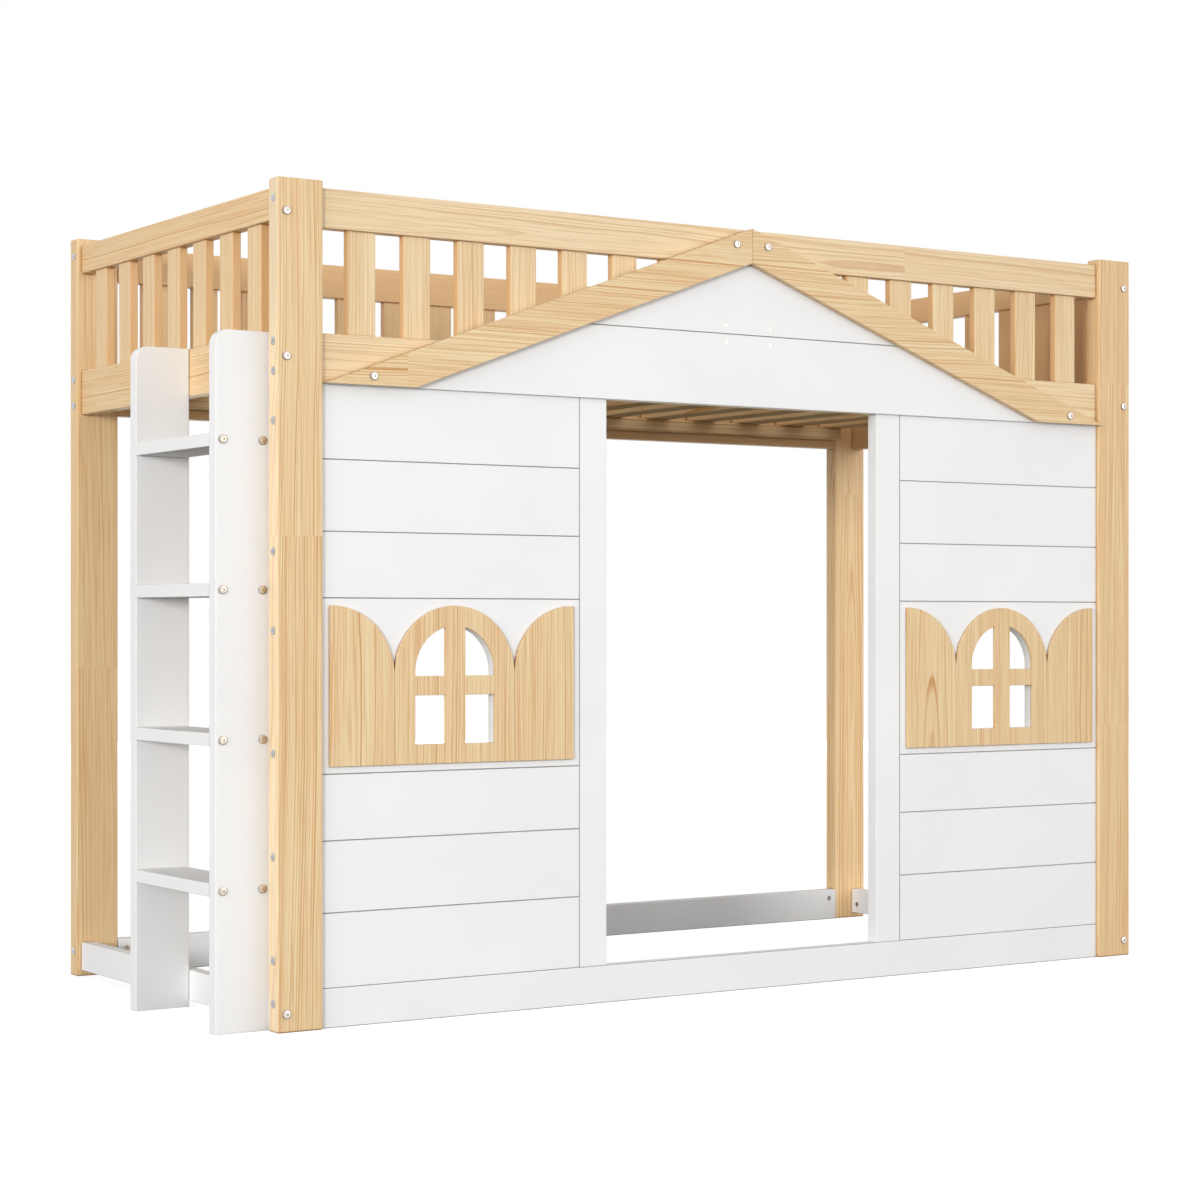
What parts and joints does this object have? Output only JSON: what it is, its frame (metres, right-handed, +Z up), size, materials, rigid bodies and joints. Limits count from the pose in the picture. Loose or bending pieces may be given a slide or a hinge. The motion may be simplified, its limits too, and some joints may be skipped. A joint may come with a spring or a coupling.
{
  "type": "house bunk bed",
  "caption": "Loft bed framed in pine with a house front: boarded walls, doorway, arched windows with shutters, gable, guard rail and end ladder.",
  "frame": {"origin": "on the floor, at the middle of the bed's outer size, ladder and bolt heads included", "axes": "+X runs along the bed away from the ladder, +Y runs from the house front to the back, +Z is up"},
  "size_m": [2.1766, 0.995, 1.53],
  "materials": {
    "pine": "clear satin lacquer on knot-free pine, grain along each piece",
    "white_paint": "smooth satin white paint on board",
    "nickel": "warm nickel plate, satin",
    "zinc_steel": "bright zinc plate, satin"
  },
  "bodies": {
    "root": {"barrel_nuts": "nickel", "bed_slats": "pine", "front_balusters": "pine", "front_bottom_rail": "white_paint", "front_deck_rail": "pine", "front_left_post": "pine", "front_right_post": "pine", "front_slat_ledger": "pine", "front_top_rail": "pine", "gable_lower_sheet": "white_paint", "gable_packer": "pine", "gable_screws": "nickel", "gable_upper_sheet": "white_paint", "jamb_dowels": "pine", "ladder_bolts": "nickel", "ladder_front_rail": "white_paint", "ladder_rear_rail": "white_paint", "ladder_tread_1": "white_paint", "ladder_tread_2": "white_paint", "ladder_tread_3": "white_paint", "ladder_tread_4": "white_paint", "left_balusters": "pine", "left_bottom_rail": "white_paint", "left_deck_rail": "pine", "left_door_jamb": "white_paint", "left_lower_panel": "white_paint", "left_roof_board": "pine", "left_top_rail": "pine", "left_upper_panel": "white_paint", "left_window_frame": "pine", "left_window_left_shutter": "pine", "left_window_panel": "white_paint", "left_window_right_shutter": "pine", "post_end_bolts": "zinc_steel", "post_face_bolts": "nickel", "rear_balusters": "pine", "rear_bottom_rail": "white_paint", "rear_deck_rail": "pine", "rear_left_post": "pine", "rear_right_post": "pine", "rear_slat_ledger": "pine", "rear_top_rail": "pine", "right_balusters": "pine", "right_bottom_rail": "white_paint", "right_deck_rail": "pine", "right_door_jamb": "white_paint", "right_lower_panel": "white_paint", "right_roof_board": "pine", "right_top_rail": "pine", "right_upper_panel": "white_paint", "right_window_frame": "pine", "right_window_left_shutter": "pine", "right_window_panel": "white_paint", "right_window_right_shutter": "pine", "roof_bolts": "nickel"}
  },
  "joints": []
}
